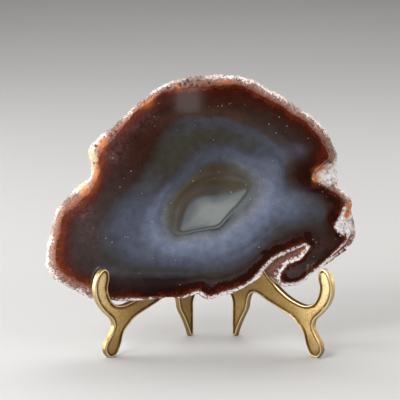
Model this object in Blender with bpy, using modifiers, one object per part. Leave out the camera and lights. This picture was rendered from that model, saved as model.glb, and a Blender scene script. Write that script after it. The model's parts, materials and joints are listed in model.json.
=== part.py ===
"""Agate slice standing on a folding brass easel.

The easel is two cast halves joined by an upright hinge pin. They open towards
the front (-Y) in a V. Each half has a front foot, a hook that keeps the slab
from sliding off, an arm with a saddle, a back leg and an upright that the slab
leans on. The slab is a cut nodule: two flat faces, and a rough rind round them.

The origin is on the table, under the middle of the whole object's box.
Dimensions are in millimetres and degrees, and MM turns them into metres.
"""

import math

import bmesh
import bpy
from mathutils import Matrix, Vector, noise

MM = 0.001

# Easel, overall
HINGE_X = 4.9
HINGE_Y = 23.9
HALF_OPENING = 45.0
PLATE_THICKNESS = 2.6
EDGE_ROUNDING = 0.45
RIM_WIDTH = 1.25
FIELD_DEPTH = 0.35

# Hinge
BARREL_RADIUS = 2.6
BORE_RADIUS = 1.45
PIN_RADIUS = 1.15
PIN_HEAD_RADIUS = 2.2
PIN_HEAD_HEIGHT = 0.9
BARREL_LOW = 25.0
BARREL_HIGH = 43.0
RUNNING_GAP = 0.35
LUG_REACH = 7.0

# Slab
SLAB_THICKNESS = 7.0
SLAB_LEAN = 9.0
SLAB_YAW = 6.5
SLAB_FRONT_Y = -40.9
UNDERCUT = 0.5
BACK_EDGE_WEAR = 0.3
LUMP_HEIGHT = 0.45
LUMP_SIZE = 4.5
CRYSTAL_HEIGHT = 0.3
CRYSTAL_SIZE = 1.6
FOLD_DEPTH = 1.1

# Finish of the meshes
STEPS_PER_SPAN = 3
SLAB_POINTS = 230
ROUND_SIDES = 32
WELD = 0.01

# One half of the easel, seen square on: (distance from the hinge axis, height).
# It runs from the back leg's toe up the back edge, over the upright, down the
# arm into the saddle, over the hook, down to the front foot and back.
HALF_OUTLINE = (
    (13.1, 0.4), (13.0, 5.0), (13.0, 11.0), (12.8, 16.0), (10.0, 20.0), (5.8, 23.2),
    (4.5, 27.5), (4.4, 34.0), (4.5, 41.0), (6.8, 46.0), (12.0, 51.0), (16.6, 56.0),
    (19.2, 62.0), (20.6, 68.0), (22.6, 71.6), (25.2, 72.2), (27.2, 70.0), (27.6, 66.5),
    (26.6, 60.0), (25.8, 52.0), (26.2, 44.0), (28.2, 37.2), (33.0, 31.5), (39.0, 26.8),
    (44.6, 23.7), (50.4, 21.9), (55.4, 21.5), (59.6, 23.1), (62.2, 26.8), (63.0, 30.6),
    (62.2, 34.0), (62.5, 37.2), (64.9, 38.8), (67.9, 36.9), (69.7, 33.0), (69.7, 28.4),
    (67.8, 23.9), (64.2, 19.6), (60.6, 16.2), (59.7, 13.0), (61.6, 9.8), (64.0, 6.6),
    (64.7, 3.4), (62.8, 0.5), (60.2, -0.4), (57.8, 1.4), (55.8, 5.0), (54.3, 9.4),
    (51.4, 12.2), (47.4, 14.9), (41.0, 17.0), (34.4, 19.0), (27.8, 21.3), (24.0, 20.8),
    (22.3, 17.6), (21.4, 13.4), (18.6, 8.4), (16.2, 3.4), (15.0, 0.0), (13.9, -0.5),
)

# The slab, seen square on: (across, up, width of the sloping rind). The rind
# slopes outward from the front face's edge to the back, where it is widest.
# It runs from the top, over to the right, along the bottom and up the left.
SLAB_OUTLINE = (
    (-1.5, 117.8, 4.8), (7.8, 117.8, 4.2), (13.0, 117.4, 4.0), (19.0, 115.5, 4.2),
    (26.9, 111.1, 4.2), (32.0, 108.2, 4.0), (39.6, 103.1, 4.0), (45.6, 98.9, 4.2),
    (50.7, 93.2, 4.6), (53.2, 88.2, 4.6), (54.9, 83.0, 4.4), (54.8, 77.4, 11.6),
    (55.6, 73.4, 9.0), (55.3, 70.0, 5.0), (58.6, 67.0, 4.0), (60.9, 63.6, 3.8),
    (60.6, 59.8, 4.0), (61.9, 55.4, 6.0), (62.7, 51.0, 4.8), (61.9, 47.6, 2.4),
    (59.2, 44.2, 0.6), (55.7, 41.3, 0.3), (49.4, 37.3, 0.2), (42.6, 33.2, 0.2),
    (39.0, 30.1, 0.2), (34.6, 28.3, 0.2), (30.4, 28.2, 0.2), (27.9, 29.4, 0.2),
    (26.0, 31.9, 0.2), (24.0, 33.1, 0.3), (22.3, 34.6, 0.3), (20.2, 32.3, 0.2),
    (16.0, 29.3, 0.2), (9.4, 26.2, 0.2), (3.8, 24.9, 0.2), (-1.4, 23.7, 0.2),
    (-4.4, 24.7, 0.3), (-6.1, 26.0, 0.4), (-9.4, 25.0, 0.2), (-13.7, 24.2, 0.2),
    (-17.4, 24.8, 0.3), (-24.2, 24.2, 0.3), (-31.3, 23.9, 0.3), (-38.9, 23.8, 0.5),
    (-45.0, 24.8, 1.6), (-51.0, 25.3, 4.0), (-56.0, 27.4, 5.0), (-61.4, 30.6, 4.6),
    (-65.9, 34.0, 4.4), (-69.0, 38.8, 4.2), (-69.2, 43.4, 3.8), (-67.9, 49.6, 3.2),
    (-66.0, 57.4, 3.4), (-64.4, 62.4, 3.4), (-60.2, 67.0, 4.4), (-56.8, 71.2, 5.0),
    (-53.0, 73.6, 4.2), (-49.8, 76.6, 2.4), (-49.5, 80.6, 3.4), (-50.6, 86.4, 4.4),
    (-48.2, 90.4, 4.4), (-43.3, 95.2, 4.2), (-36.9, 99.8, 2.6), (-31.4, 104.8, 1.8),
    (-26.3, 109.0, 2.6), (-21.6, 112.4, 2.6), (-17.0, 114.8, 3.4), (-9.2, 117.0, 4.4),
)

# The fold of rind that runs in from the lower edge: (across, up, half width)
FOLD_PATH = (
    (24.4, 30.6, 2.1), (26.0, 35.6, 1.9), (29.4, 39.8, 1.5), (34.4, 42.9, 1.3), (39.4, 45.0, 0.9),
)

BRASS = ("brass", (0.66, 0.46, 0.20), 0.34, 1.0)
AGATE = ("agate", (0.24, 0.21, 0.22), 0.18, 0.0)


def remove_everything():
    for item in list(bpy.data.objects):
        bpy.data.objects.remove(item, do_unlink=True)


def make_collection(name):
    collection = bpy.data.collections.new(name)
    bpy.context.scene.collection.children.link(collection)
    return collection


def make_material(name, colour, roughness, metallic):
    material = bpy.data.materials.new(name)
    material.use_nodes = True
    shader = material.node_tree.nodes["Principled BSDF"]
    shader.inputs["Base Color"].default_value = (*colour, 1.0)
    shader.inputs["Roughness"].default_value = roughness
    shader.inputs["Metallic"].default_value = metallic
    return material


def add_object(name, mesh, collection):
    item = bpy.data.objects.new(name, mesh)
    collection.objects.link(item)
    return item


def finish_object(item, spec, parent):
    item.data.materials.clear()
    item.data.materials.append(make_material(item.name + "_" + spec[0], *spec[1:]))
    item.parent = parent


def smooth_loop(points, steps):
    """A closed Catmull-Rom curve through the points, with steps points to a span."""
    loop = []
    count = len(points)
    for index in range(count):
        before, start, end, after = (points[(index + shift) % count] for shift in (-1, 0, 1, 2))
        for step in range(steps):
            t = step / steps
            loop.append(tuple(
                0.5 * (2 * b + (c - a) * t + (2 * a - 5 * b + 4 * c - d) * t ** 2
                       + (3 * b - a - 3 * c + d) * t ** 3)
                for a, b, c, d in zip(before, start, end, after)))
    return loop


def even_loop(loop, count):
    """The same closed loop with count points at even distances along it."""
    closed = loop + [loop[0]]
    lengths = [math.dist(a[:2], b[:2]) for a, b in zip(closed, closed[1:])]
    spacing = sum(lengths) / count
    result = []
    walked = 0.0
    wanted = 0.0
    for a, b, length in zip(closed, closed[1:], lengths):
        while wanted < walked + length - 1e-9 and len(result) < count:
            t = (wanted - walked) / length
            result.append(tuple(p + (q - p) * t for p, q in zip(a, b)))
            wanted += spacing
        walked += length
    return result


def outward_normals(loop, reach):
    """Unit normals that point out of a clockwise loop, smoothed over reach points."""
    count = len(loop)
    normals = []
    for index in range(count):
        a = loop[(index - reach) % count]
        b = loop[(index + reach) % count]
        normals.append(Vector((a[1] - b[1], b[0] - a[0])).normalized())
    return normals


def distance_to_loop(point, loop):
    nearest = math.inf
    for a, b in zip(loop, loop[1:] + loop[:1]):
        a, b = Vector(a[:2]), Vector(b[:2])
        edge = b - a
        t = max(0.0, min(1.0, (point - a).dot(edge) / edge.length_squared))
        nearest = min(nearest, (point - a - edge * t).length)
    return nearest


def inset_loop(loop, width):
    """The loop moved inward, without the points that crowd each other in tight places."""
    normals = outward_normals(loop, 1)
    moved = [Vector(point[:2]) - normal * width for point, normal in zip(loop, normals)]
    return [point for point in moved if distance_to_loop(point, loop) > width * 0.985]


def flat_plate(name, loop, thickness, collection):
    """A flat outline in the XZ plane as a welded solid, thickness across Y."""
    curve = bpy.data.curves.new(name, "CURVE")
    curve.dimensions = "2D"
    curve.fill_mode = "BOTH"
    curve.extrude = thickness * MM / 2
    spline = curve.splines.new("POLY")
    spline.points.add(len(loop) - 1)
    for point, place in zip(spline.points, loop):
        point.co = (place[0] * MM, place[1] * MM, 0.0, 1.0)
    spline.use_cyclic_u = True
    guide = add_object(name + "_curve", curve, collection)
    bpy.context.view_layer.update()
    evaluated = guide.evaluated_get(bpy.context.evaluated_depsgraph_get())
    mesh = bpy.data.meshes.new_from_object(evaluated)
    bpy.data.objects.remove(guide, do_unlink=True)
    bm = bmesh.new()
    bm.from_mesh(mesh)
    bmesh.ops.remove_doubles(bm, verts=bm.verts, dist=WELD * MM)
    bmesh.ops.rotate(bm, verts=bm.verts, matrix=Matrix.Rotation(math.pi / 2, 3, "X"))
    bmesh.ops.recalc_face_normals(bm, faces=bm.faces)
    bm.to_mesh(mesh)
    bm.free()
    return add_object(name, mesh, collection)


def upright_cylinder(name, radius, low, high, collection):
    bm = bmesh.new()
    bmesh.ops.create_cone(bm, cap_ends=True, segments=ROUND_SIDES, radius1=radius * MM,
                          radius2=radius * MM, depth=(high - low) * MM)
    bmesh.ops.translate(bm, verts=bm.verts, vec=(0.0, 0.0, (low + high) / 2 * MM))
    mesh = bpy.data.meshes.new(name)
    bm.to_mesh(mesh)
    bm.free()
    return add_object(name, mesh, collection)


def block(name, low, high, collection):
    bm = bmesh.new()
    bmesh.ops.create_cube(bm, size=1.0)
    size = [(b - a) * MM for a, b in zip(low, high)]
    middle = [(b + a) / 2 * MM for a, b in zip(low, high)]
    bmesh.ops.scale(bm, verts=bm.verts, vec=size)
    bmesh.ops.translate(bm, verts=bm.verts, vec=middle)
    mesh = bpy.data.meshes.new(name)
    bm.to_mesh(mesh)
    bm.free()
    return add_object(name, mesh, collection)


def combine(item, operation, tool):
    """Add or cut with a tool object, apply it, and keep the tool as a hidden guide."""
    modifier = item.modifiers.new(tool.name, "BOOLEAN")
    modifier.operation = operation
    modifier.solver = "EXACT"
    modifier.object = tool
    tool.hide_render = True
    tool.display_type = "WIRE"
    apply_modifiers(item)


def apply_modifiers(item):
    bpy.context.view_layer.update()
    evaluated = item.evaluated_get(bpy.context.evaluated_depsgraph_get())
    mesh = bpy.data.meshes.new_from_object(evaluated)
    item.modifiers.clear()
    item.data = mesh


def knuckle_spans(count):
    """Heights of the hinge's knuckles, bottom to top, with a running gap between them."""
    height = (BARREL_HIGH - BARREL_LOW - RUNNING_GAP * (count - 1)) / count
    return [(BARREL_LOW + index * (height + RUNNING_GAP),
             BARREL_LOW + index * (height + RUNNING_GAP) + height) for index in range(count)]


def easel_half(name, spans, turn, hinge, collection, cutters):
    """One casting: a plate with a raised rim, and the knuckles at the given heights."""
    loop = smooth_loop(HALF_OUTLINE, STEPS_PER_SPAN)
    half = flat_plate(name, loop, PLATE_THICKNESS, collection)
    rounding = half.modifiers.new("rounding", "BEVEL")
    rounding.width = EDGE_ROUNDING * MM
    rounding.segments = 1
    rounding.limit_method = "ANGLE"
    rounding.angle_limit = math.radians(60)
    apply_modifiers(half)

    field = inset_loop(loop, RIM_WIDTH)
    field_y = PLATE_THICKNESS / 2 - FIELD_DEPTH + PLATE_THICKNESS / 2
    for side in (-1, 1):
        cutter = flat_plate(f"{name}_field_{side}", field, PLATE_THICKNESS, cutters)
        cutter.location.y = side * field_y * MM
        combine(half, "DIFFERENCE", cutter)

    half_plate = PLATE_THICKNESS / 2
    for low, high in spans:
        lug = block(f"{name}_lug_{low:.0f}", (0.0, -half_plate, low), (LUG_REACH, half_plate, high), cutters)
        barrel = upright_cylinder(f"{name}_barrel_{low:.0f}", BARREL_RADIUS, low, high, cutters)
        combine(barrel, "UNION", lug)
        combine(half, "UNION", barrel)
    bore = upright_cylinder(f"{name}_bore", BORE_RADIUS, BARREL_LOW - 1.0, BARREL_HIGH + 1.0, cutters)
    combine(half, "DIFFERENCE", bore)

    file_feet(half)
    half.rotation_euler.z = math.radians(turn)
    finish_object(half, BRASS, hinge)
    return half


def file_feet(half):
    """Cut the feet flat at the table, so that each has a small face to stand on."""
    bm = bmesh.new()
    bm.from_mesh(half.data)
    cut = bmesh.ops.bisect_plane(bm, geom=bm.verts[:] + bm.edges[:] + bm.faces[:], dist=1e-7,
                                 plane_co=(0.0, 0.0, 0.0), plane_no=(0.0, 0.0, 1.0), clear_inner=True)
    edges = [piece for piece in cut["geom_cut"] if isinstance(piece, bmesh.types.BMEdge)]
    bmesh.ops.contextual_create(bm, geom=edges)
    bmesh.ops.recalc_face_normals(bm, faces=bm.faces)
    bm.to_mesh(half.data)
    bm.free()


def hinge_pin(hinge, collection):
    """A turned pin: a shaft through the bores and a flat rivet head at each end."""
    low = BARREL_LOW - RUNNING_GAP
    high = BARREL_HIGH + RUNNING_GAP
    profile = (
        (0.0, high + PIN_HEAD_HEIGHT), (PIN_HEAD_RADIUS * 0.7, high + PIN_HEAD_HEIGHT),
        (PIN_HEAD_RADIUS, high + PIN_HEAD_HEIGHT * 0.4), (PIN_HEAD_RADIUS, high), (PIN_RADIUS, high),
        (PIN_RADIUS, low), (PIN_HEAD_RADIUS, low), (PIN_HEAD_RADIUS, low - PIN_HEAD_HEIGHT * 0.4),
        (PIN_HEAD_RADIUS * 0.7, low - PIN_HEAD_HEIGHT), (0.0, low - PIN_HEAD_HEIGHT),
    )
    mesh = bpy.data.meshes.new("hinge_pin")
    verts = [(radius * MM, 0.0, height * MM) for radius, height in profile]
    mesh.from_pydata(verts, [(index, index + 1) for index in range(len(verts) - 1)], [])
    pin = add_object("hinge_pin", mesh, collection)
    screw = pin.modifiers.new("turn", "SCREW")
    screw.axis = "Z"
    screw.steps = ROUND_SIDES
    screw.render_steps = ROUND_SIDES
    screw.use_merge_vertices = True
    screw.merge_threshold = 0.00001
    finish_object(pin, BRASS, hinge)
    return pin


def rind_rings(outline):
    """Rings round the slab from the front face's edge to the back face's edge.

    Each entry is (share of the thickness, share of the rind's width still to go).
    """
    slope = ((0.0, 1.0), (0.12, 0.66), (0.30, 0.34), (0.52, 0.12), (0.78, 0.0), (0.94, 0.03), (1.0, 0.08))
    normals = outward_normals(outline, 7)
    rings = []
    for depth, share in slope:
        ring = []
        for (across, up, rind), normal in zip(outline, normals):
            flare = min(1.0, rind / 3.0)
            inset = share * rind + (1.0 - flare) * UNDERCUT * depth ** 2
            if depth == 1.0:
                inset += BACK_EDGE_WEAR
            lump = noise.noise(Vector((across, up, depth * SLAB_THICKNESS)) / LUMP_SIZE)
            crystal = noise.noise(Vector((across, up, 40.0 + depth * SLAB_THICKNESS)) / CRYSTAL_SIZE)
            out = -inset + LUMP_HEIGHT * lump * (0.4 + 0.6 * flare) + CRYSTAL_HEIGHT * crystal
            place = Vector((across, up)) + normal * out
            ring.append(Vector((place.x * MM, depth * SLAB_THICKNESS * MM, place.y * MM)))
        rings.append(ring)
    return rings


def agate_slice(hinge, collection, cutters):
    """The cut nodule, lofted from its front face's edge over the rind to its back face."""
    outline = even_loop(smooth_loop(SLAB_OUTLINE, STEPS_PER_SPAN * 2), SLAB_POINTS)
    bm = bmesh.new()
    rings = [[bm.verts.new(place) for place in ring] for ring in rind_rings(outline)]
    count = len(outline)
    for inner, outer in zip(rings, rings[1:]):
        for index in range(count):
            after = (index + 1) % count
            bm.faces.new((inner[index], outer[index], outer[after], inner[after]))
    bm.faces.new(rings[0])
    bm.faces.new(rings[-1])
    bmesh.ops.recalc_face_normals(bm, faces=bm.faces)
    bmesh.ops.triangulate(bm, faces=bm.faces)
    mesh = bpy.data.meshes.new("agate_slice")
    bm.to_mesh(mesh)
    bm.free()
    slab = add_object("agate_slice", mesh, collection)
    combine(slab, "DIFFERENCE", fold_cutter(cutters))
    slab.location = (0.0, SLAB_FRONT_Y * MM, 0.0)
    slab.rotation_euler = (math.radians(-SLAB_LEAN), 0.0, math.radians(SLAB_YAW))
    finish_object(slab, AGATE, hinge)
    return slab


def fold_cutter(cutters):
    """A tapering bent rod, sunk into the front face, that leaves the fold's groove."""
    curve = bpy.data.curves.new("fold", "CURVE")
    curve.dimensions = "3D"
    curve.bevel_depth = 1.0 * MM
    curve.bevel_resolution = 2
    curve.use_fill_caps = True
    spline = curve.splines.new("POLY")
    spline.points.add(len(FOLD_PATH) - 1)
    for point, (across, up, half_width) in zip(spline.points, FOLD_PATH):
        point.co = (across * MM, (FOLD_DEPTH - half_width) * MM, up * MM, 1.0)
        point.radius = half_width
    guide = add_object("fold_curve", curve, cutters)
    bpy.context.view_layer.update()
    evaluated = guide.evaluated_get(bpy.context.evaluated_depsgraph_get())
    mesh = bpy.data.meshes.new_from_object(evaluated)
    bpy.data.objects.remove(guide, do_unlink=True)
    bm = bmesh.new()
    bm.from_mesh(mesh)
    bmesh.ops.remove_doubles(bm, verts=bm.verts, dist=WELD * MM)
    bmesh.ops.recalc_face_normals(bm, faces=bm.faces)
    bm.to_mesh(mesh)
    bm.free()
    return add_object("fold_cutter", mesh, cutters)


def main():
    remove_everything()
    parts = make_collection("agate_slice_on_easel")
    cutters = make_collection("cutters")
    cutters.hide_render = True
    hinge = add_object("hinge_axis", None, parts)
    hinge.location = (HINGE_X * MM, HINGE_Y * MM, 0.0)
    bottom, middle, top = knuckle_spans(3)
    easel_half("stand_left", (bottom, top), HALF_OPENING - 180.0, hinge, parts, cutters)
    easel_half("stand_right", (middle,), -HALF_OPENING, hinge, parts, cutters)
    hinge_pin(hinge, parts)
    agate_slice(hinge, parts, cutters)


main()
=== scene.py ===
"""A polished agate slice on a folding brass easel.

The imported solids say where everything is. This script gives each of them its fine surface: the
agate's bands, rust, crystals and rough rind, and the easel's cast and polished brass.

Lengths are in millimetres and angles in degrees, and MM turns lengths into metres. Places on the
agate are (across, up) on its front face, or (across, depth, up) with depth running to the back.
"""

import json
import math
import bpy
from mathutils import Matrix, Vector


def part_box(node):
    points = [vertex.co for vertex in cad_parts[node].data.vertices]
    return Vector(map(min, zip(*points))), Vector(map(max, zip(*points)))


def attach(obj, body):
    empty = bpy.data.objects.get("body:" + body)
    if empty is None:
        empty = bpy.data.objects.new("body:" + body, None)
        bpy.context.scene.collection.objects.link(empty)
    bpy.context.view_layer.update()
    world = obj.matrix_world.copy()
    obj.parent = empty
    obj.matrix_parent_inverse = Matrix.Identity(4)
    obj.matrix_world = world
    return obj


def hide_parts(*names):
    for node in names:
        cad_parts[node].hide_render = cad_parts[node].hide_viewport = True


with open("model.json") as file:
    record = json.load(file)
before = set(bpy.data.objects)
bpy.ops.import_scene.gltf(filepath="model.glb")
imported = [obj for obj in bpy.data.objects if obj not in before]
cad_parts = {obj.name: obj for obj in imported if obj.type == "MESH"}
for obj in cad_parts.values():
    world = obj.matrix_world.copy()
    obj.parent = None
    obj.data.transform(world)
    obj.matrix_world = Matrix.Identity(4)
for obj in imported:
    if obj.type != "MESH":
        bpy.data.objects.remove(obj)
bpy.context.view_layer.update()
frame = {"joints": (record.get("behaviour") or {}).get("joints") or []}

from types import SimpleNamespace

import bpy
import numpy as np
from mathutils import Matrix, Vector, geometry, kdtree, noise

MM = 0.001

# Camera, measured from the photograph's perspective
CAMERA_AIM = (-0.74, -7.94, 64.9)
CAMERA_DISTANCE = 750.0
CAMERA_ELEVATION = 11.71
CAMERA_LENS = 161.5
SENSOR_WIDTH = 36.0

# Slab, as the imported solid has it
SLAB_THICKNESS = 7.0
SLAB_LEAN = 9.0
SLAB_YAW = 6.5
SLAB_FRONT_Y = -40.9
UNDERCUT = 0.5
BACK_EDGE_WEAR = 0.3
LUMP_HEIGHT = 0.45
LUMP_SIZE = 4.5
CRYSTAL_HEIGHT = 0.3
CRYSTAL_SIZE = 1.6
NORMAL_REACH = 12.0
WEAR_START = 0.94
FLARE_WIDTH = 3.0
RIND_WIDTH = 4.2

# Slab, fine surface
EDGE_POINTS = 1400
RIND_RINGS = 34
GRAIN_HEIGHT = 0.34
GRAIN_SIZE = 0.75
PIT_CELL = 2.6
PIT_RADIUS = 0.75
PIT_DEPTH = 0.42
PIT_PATCH = 9.0
MARKED_PIT_RADIUS = 0.95
MARKED_PIT_REACH = 1.3
MARKED_PIT_GRAIN = 0.8
SPOT_FALL = 0.9
FACE_GRID = 0.75
SKIN_GRID = 0.30
EYE_GRID = 0.42
BACK_GRID = 1.2
BACK_SHRINK = (0.94, 0.95)
BACK_ANCHOR = (0.0, 25.0)
FOLD_DEPTH = 1.1
CONTOUR_STEP = 0.12
LEVELS = 6.0
EYE_REACH = 5.0
EYE_CENTRE = (1.2, 62.0)
CORE_POINTS = 120
# The eye's fine lines: how far outside its edge, how far they reach each way, and up to where
EYE_LINES_OUT = 1.0
EYE_LINES_REACH = 1.6
EYE_LINES_TOP = 67.0
# Distances in from the face's edge: up to where the grid is fine and the stone rough, and how soon fully
SKIN_REACH = 0.7
ROUGH_EDGE = 0.35
ROUGH_WIDTH = 0.9
SPIKE_SIZE = 0.9
COARSE_SIZE = 2.2
DUST_RADIUS = 0.14
AGATE_IOR = 1.54

# Easel
HALF_TURNS = {"left": -135.0, "right": -45.0}
PLATE_STEP = 0.5
PLATE_CONTOUR_STEP = 0.06
PLATE_RINGS = 9
FIELD_GRID = 1.0
PEEN_SIZE = 1.7
PEEN_HEIGHT = 0.035
FIELD_START = 1.3
FIELD_SOFT = 0.8
GROOVE_AT = 1.12
GROOVE_SOFT = 0.34
BEAD_AT = 0.45
BEAD_SOFT = 0.3
BARREL_RADIUS = 2.6
BORE_RADIUS = 1.45
PIN_RADIUS = 1.15
PIN_HEAD_RADIUS = 2.2
PIN_HEAD_HEIGHT = 0.9
BARREL_LOW = 25.0
BARREL_HIGH = 43.0
RUNNING_GAP = 0.35
LUG_REACH = 5.3
LUG_HALF_THICKNESS = 1.2
KNUCKLE_CHAMFER = 0.22
KNUCKLE_SHARP = 35.0
PIN_SHARP = 40.0
TURNED_SIDES = 72

# One half of the easel, seen square on: (distance from the hinge axis, height).
HALF_OUTLINE = (
    (13.1, 0.4), (13.0, 5.0), (13.0, 11.0), (12.8, 16.0), (10.0, 20.0), (5.8, 23.2),
    (4.5, 27.5), (4.4, 34.0), (4.5, 41.0), (6.8, 46.0), (12.0, 51.0), (16.6, 56.0),
    (19.2, 62.0), (20.6, 68.0), (22.6, 71.6), (25.2, 72.2), (27.2, 70.0), (27.6, 66.5),
    (26.6, 60.0), (25.8, 52.0), (26.2, 44.0), (28.2, 37.2), (33.0, 31.5), (39.0, 26.8),
    (44.6, 23.7), (50.4, 21.9), (55.4, 21.5), (59.6, 23.1), (62.2, 26.8), (63.0, 30.6),
    (62.2, 34.0), (62.5, 37.2), (64.9, 38.8), (67.9, 36.9), (69.7, 33.0), (69.7, 28.4),
    (67.8, 23.9), (64.2, 19.6), (60.6, 16.2), (59.7, 13.0), (61.6, 9.8), (64.0, 6.6),
    (64.7, 3.4), (62.8, 0.5), (60.2, -0.4), (57.8, 1.4), (55.8, 5.0), (54.3, 9.4),
    (51.4, 12.2), (47.4, 14.9), (41.0, 17.0), (34.4, 19.0), (27.8, 21.3), (24.0, 20.8),
    (22.3, 17.6), (21.4, 13.4), (18.6, 8.4), (16.2, 3.4), (15.0, 0.0), (13.9, -0.5),
)

# Across the plate's edge: (distance from the outline, height above the middle). A raised bead,
# a groove inside it, and a field that swells a little towards its middle.
PLATE_PROFILE = (
    (0.0, 0.85), (0.12, 1.10), (0.28, 1.24), (0.50, 1.30), (0.66, 1.27), (0.86, 1.10),
    (1.06, 0.92), (1.28, 0.87), (1.55, 0.92), (2.1, 0.98), (3.2, 1.03), (5.5, 1.07),
)

# The slab, seen square on: (across, up, width of the sloping rind), clockwise from the top.
SLAB_OUTLINE = (
    (-1.5, 117.8, 4.8), (7.8, 117.8, 4.2), (13.0, 117.4, 4.0), (19.0, 115.5, 4.2),
    (26.9, 111.1, 4.2), (32.0, 108.2, 4.0), (39.6, 103.1, 4.0), (45.6, 98.9, 4.2),
    (50.7, 93.2, 4.6), (53.2, 88.2, 4.6), (54.9, 83.0, 4.4), (54.8, 77.4, 11.6),
    (55.6, 73.4, 9.0), (55.3, 70.0, 5.0), (58.6, 67.0, 4.0), (60.9, 63.6, 3.8),
    (60.6, 59.8, 4.0), (61.9, 55.4, 6.0), (62.7, 51.0, 4.8), (61.9, 47.6, 2.4),
    (59.2, 44.2, 0.6), (55.7, 41.3, 0.3), (49.4, 37.3, 0.2), (42.6, 33.2, 0.2),
    (39.0, 30.1, 0.2), (34.6, 28.3, 0.2), (30.4, 28.2, 0.2), (27.9, 29.4, 0.2),
    (26.0, 31.9, 0.2), (24.0, 33.1, 0.3), (22.3, 34.6, 0.3), (20.2, 32.3, 0.2),
    (16.0, 29.3, 0.2), (9.4, 26.2, 0.2), (3.8, 24.9, 0.2), (-1.4, 23.7, 0.2),
    (-4.4, 24.7, 0.3), (-6.1, 26.0, 0.4), (-9.4, 25.0, 0.2), (-13.7, 24.2, 0.2),
    (-17.4, 24.8, 0.3), (-24.2, 24.2, 0.3), (-31.3, 23.9, 0.3), (-38.9, 23.8, 0.5),
    (-45.0, 24.8, 1.6), (-51.0, 25.3, 4.0), (-56.0, 27.4, 5.0), (-61.4, 30.6, 4.6),
    (-65.9, 34.0, 4.4), (-69.0, 38.8, 4.2), (-69.2, 43.4, 3.8), (-67.9, 49.6, 3.2),
    (-66.0, 57.4, 3.4), (-64.4, 62.4, 3.4), (-60.2, 67.0, 4.4), (-56.8, 71.2, 5.0),
    (-53.0, 73.6, 4.2), (-49.8, 76.6, 2.4), (-49.5, 80.6, 3.4), (-50.6, 86.4, 4.4),
    (-48.2, 90.4, 4.4), (-43.3, 95.2, 4.2), (-36.9, 99.8, 2.6), (-31.4, 104.8, 1.8),
    (-26.3, 109.0, 2.6), (-21.6, 112.4, 2.6), (-17.0, 114.8, 3.4), (-9.2, 117.0, 4.4),
)
# From the front edge to the back: (share of the thickness, share of the rind's width still to go)
RIND_SLOPE = ((0.0, 1.0), (0.12, 0.66), (0.30, 0.34), (0.52, 0.12), (0.78, 0.0), (0.94, 0.03), (1.0, 0.08))

# The bands on the polished face, from the outside in, each a closed line of (across, up).
# Where the chalcedony ends and the rind, the fold and the crystals begin
FACE_EDGE = (
    (-8.7, 112.2), (-2.8, 112.7), (2.2, 113.1), (7.3, 113.6), (12.3, 113.3), (16.5, 111.8), (21.6, 108.6),
    (26.6, 106.0), (31.6, 103.2), (37.1, 99.3), (42.2, 95.6), (46.3, 90.9), (48.9, 87.1), (50.1, 82.5),
    (49.6, 79.1), (47.0, 77.5), (44.0, 75.4), (42.7, 73.5), (45.2, 71.4), (49.0, 69.6), (53.3, 67.2),
    (57.1, 64.1), (56.4, 61.6), (55.1, 58.7), (53.5, 55.8), (52.0, 53.3), (53.5, 50.9), (55.6, 49.4),
    (57.7, 48.9), (56.5, 46.6), (54.2, 44.4), (51.3, 41.7), (48.3, 39.0), (44.7, 36.1), (41.2, 33.7),
    (37.8, 31.0), (34.3, 30.0), (30.9, 30.0), (29.2, 31.7), (29.9, 34.2), (31.9, 36.9), (35.3, 38.5),
    (38.3, 39.7), (40.1, 42.2), (42.0, 44.4), (39.7, 46.4), (35.8, 45.2), (31.6, 43.6), (27.3, 41.9),
    (23.8, 39.4), (20.8, 36.3), (17.8, 33.3), (14.3, 30.8), (10.1, 29.0), (5.0, 27.7), (-0.6, 26.0),
    (-3.5, 27.1), (-5.6, 28.6), (-8.6, 27.7), (-12.0, 26.3), (-17.0, 25.6), (-22.9, 26.0), (-29.6, 25.8),
    (-36.3, 26.0), (-42.6, 26.3), (-47.9, 29.0), (-52.0, 31.6), (-57.0, 33.0), (-61.5, 36.1), (-64.3, 39.5),
    (-65.3, 44.1), (-65.0, 49.5), (-63.8, 54.5), (-62.3, 59.0), (-60.5, 62.9), (-56.3, 65.1), (-53.0, 67.9),
    (-50.4, 72.0), (-48.6, 75.7), (-46.9, 79.4), (-46.0, 83.6), (-45.9, 88.1), (-43.8, 90.8), (-40.0, 93.0),
    (-37.0, 95.9), (-33.6, 99.1), (-29.4, 103.2), (-25.1, 105.8), (-21.7, 109.5), (-17.9, 111.5),
    (-13.3, 111.9),
)
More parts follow.
